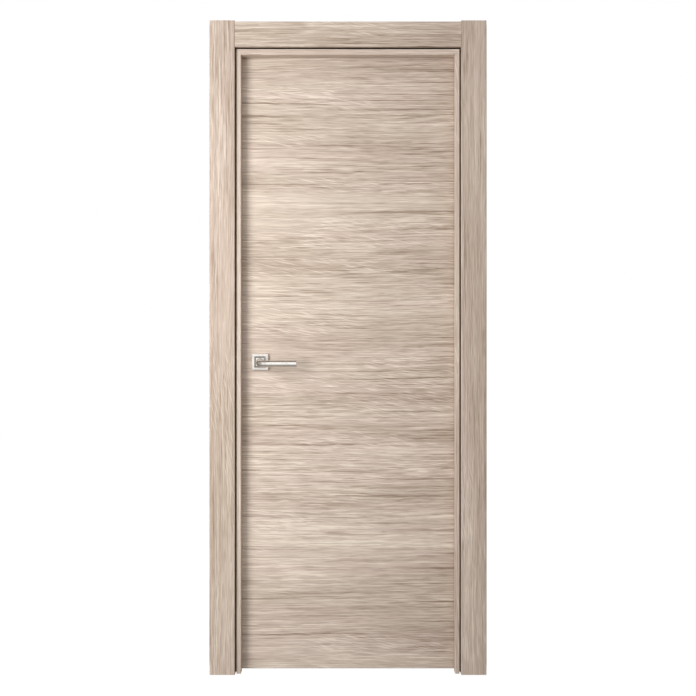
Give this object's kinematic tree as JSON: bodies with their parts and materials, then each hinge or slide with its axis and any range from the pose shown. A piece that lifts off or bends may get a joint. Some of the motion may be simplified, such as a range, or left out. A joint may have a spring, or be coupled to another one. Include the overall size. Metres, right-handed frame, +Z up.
{
  "type": "interior door set",
  "caption": "Flush interior door with horizontal pale oak grain, hung on butt hinges in a mitred rebated frame with flat casings and a lever handle on a square rose.",
  "frame": {"origin": "on the wall face of the hinge jamb, at floor level, half way through the frame's depth", "axes": "+X out of the hinge jamb into the wall, +Y through the wall to the side that the leaf opens to, +Z up"},
  "size_m": [0.928, 0.1624, 2.1435],
  "materials": {
    "leaf_oak": "satin",
    "leaf_edge_oak": "satin",
    "core_board": "matte",
    "frame_oak": "satin",
    "casing_oak": "satin",
    "seal_rubber": "matte",
    "hinge_nickel": "satin",
    "latch_nickel": "satin",
    "lever_nickel": "satin"
  },
  "bodies": {
    "frame": {"hinge_jamb": "frame_oak", "latch_jamb": "frame_oak", "head_jamb": "frame_oak", "front_casing_hinge_side": "casing_oak", "front_casing_latch_side": "casing_oak", "front_casing_head": "casing_oak", "back_casing_hinge_side": "casing_oak", "back_casing_latch_side": "casing_oak", "back_casing_head": "casing_oak", "hinge_side_seal": "seal_rubber", "latch_side_seal": "seal_rubber", "head_seal": "seal_rubber", "strike_plate": "latch_nickel", "upper_hinge_frame_plate": "hinge_nickel", "upper_hinge_pin": "hinge_nickel", "middle_hinge_frame_plate": "hinge_nickel", "middle_hinge_pin": "hinge_nickel", "lower_hinge_frame_plate": "hinge_nickel", "lower_hinge_pin": "hinge_nickel"},
    "leaf": {"leaf_front_skin": "leaf_oak", "leaf_back_skin": "leaf_oak", "leaf_hinge_stile": "leaf_edge_oak", "leaf_latch_stile": "leaf_edge_oak", "leaf_top_rail": "leaf_edge_oak", "leaf_bottom_rail": "leaf_edge_oak", "leaf_core": "core_board", "latch_case": "latch_nickel", "latch_bolt": "latch_nickel", "front_rose": "lever_nickel", "back_rose": "lever_nickel", "upper_hinge_leaf_plate": "hinge_nickel", "middle_hinge_leaf_plate": "hinge_nickel", "lower_hinge_leaf_plate": "hinge_nickel"},
    "levers": {"front_lever": "lever_nickel", "back_lever": "lever_nickel", "spindle": "lever_nickel"}
  },
  "joints": [
    {"name": "leaf_swing", "type": "hinge", "parent": "frame", "child": "leaf", "pos_m": [-0.03275, 0.045, 0], "axis": [0, 0, -1], "range_deg": [0, 170]},
    {"name": "lever_turn", "type": "hinge", "parent": "leaf", "child": "levers", "pos_m": [-0.6875, 0.015, 1.016], "axis": [0, 1, 0], "range_deg": [0, 40], "stiffness_Nm_per_rad": 1.5, "springref_deg": -34.38}
  ]
}
